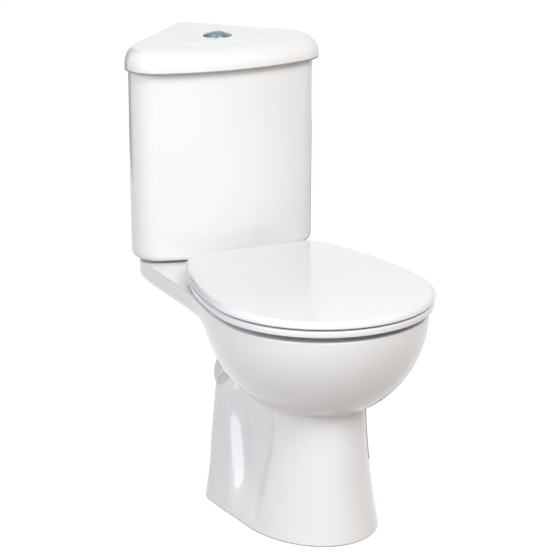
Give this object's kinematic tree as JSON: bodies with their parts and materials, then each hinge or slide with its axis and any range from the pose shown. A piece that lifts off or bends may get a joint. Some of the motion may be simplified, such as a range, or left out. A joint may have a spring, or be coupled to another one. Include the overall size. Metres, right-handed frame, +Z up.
{
  "type": "corner toilet",
  "caption": "Close-coupled corner toilet: washdown pan, corner cistern with lift-off lid and dual push button, hinged seat and cover, flushing gear inside",
  "frame": {"origin": "floor level, on the centre line, halfway between the seat's front and the lid's rear corner", "axes": "+Z up, -Y towards the front of the seat, +Y towards the corner of the room, +X to the right as seen from the front"},
  "size_m": [0.382, 0.79, 0.7915],
  "materials": {
    "china": "glossy white glaze",
    "seat_plastic": "glossy white moulded plastic",
    "chrome": "polished plating",
    "steel": "bright zinc plated",
    "rubber": "matt",
    "white_plastic": "satin moulded",
    "blue_plastic": "satin moulded",
    "grey_plastic": "satin moulded"
  },
  "bodies": {
    "fixed": {"pan": "china", "coupling_seal": "rubber", "cistern": "china", "cistern_bolts": "steel", "cistern_bolt_washers": "rubber", "cistern_plate_washers": "rubber", "cistern_wing_nuts": "white_plastic", "flush_valve_base": "blue_plastic", "flush_valve_washer": "rubber", "flush_valve_nut": "white_plastic", "flush_valve_tower": "white_plastic", "fill_valve_body": "white_plastic", "fill_valve_washer": "rubber", "fill_valve_nut": "white_plastic", "fill_valve_head": "white_plastic", "fill_valve_cap": "blue_plastic", "hinge_posts": "chrome", "hinge_pins": "steel", "hinge_bolts": "steel", "hinge_washers": "rubber", "hinge_wing_nuts": "white_plastic"},
    "seat": {"seat_ring": "seat_plastic", "seat_buffers": "rubber"},
    "cover": {"seat_cover": "seat_plastic", "cover_buffers": "rubber"},
    "lid": {"cistern_lid": "china", "button_collar": "chrome", "button_nut": "white_plastic"},
    "full_flush": {"full_flush_button": "chrome", "full_flush_rod": "white_plastic"},
    "half_flush": {"half_flush_button": "chrome", "half_flush_rod": "white_plastic"},
    "valve": {"overflow_tube": "white_plastic", "flush_seal": "rubber"},
    "float": {"float_cup": "grey_plastic"},
    "arm": {"float_arm": "white_plastic"}
  },
  "joints": [
    {"name": "seat_hinge", "type": "hinge", "parent": "fixed", "child": "seat", "pos_m": [0, 0.068, 0.406], "axis": [1, 0, 0], "range_deg": [-92, 0]},
    {"name": "cover_hinge", "type": "hinge", "parent": "seat", "child": "cover", "pos_m": [0, 0.068, 0.406], "axis": [-1, 0, 0], "range_deg": [0, 92]},
    {"name": "lid_lift", "type": "slide", "parent": "fixed", "child": "lid", "axis": [0, 0, 1], "range_m": [0, 0.16]},
    {"name": "full_button", "type": "slide", "parent": "lid", "child": "full_flush", "axis": [0, 0, -1], "range_m": [0, 0.008], "stiffness_N_per_m": 400, "springref_m": -0.006},
    {"name": "half_button", "type": "slide", "parent": "lid", "child": "half_flush", "axis": [0, 0, -1], "range_m": [0, 0.008], "stiffness_N_per_m": 400, "springref_m": -0.006},
    {"name": "valve_lift", "type": "slide", "parent": "fixed", "child": "valve", "axis": [0, 0, 1], "range_m": [0, 0.025]},
    {"name": "float_rise", "type": "slide", "parent": "fixed", "child": "float", "axis": [0, 0, 1], "range_m": [0, 0.01]},
    {"name": "arm_tilt", "type": "hinge", "parent": "fixed", "child": "arm", "pos_m": [-0.083, 0.262, 0.634], "axis": [0, -1, 0], "range_deg": [0, 17]}
  ],
  "couplings": [
    {"joint": "valve_lift", "follows": "full_button", "ratio": 3.125},
    {"joint": "arm_tilt", "follows": "float_rise", "rad_per_m": 29.4}
  ]
}
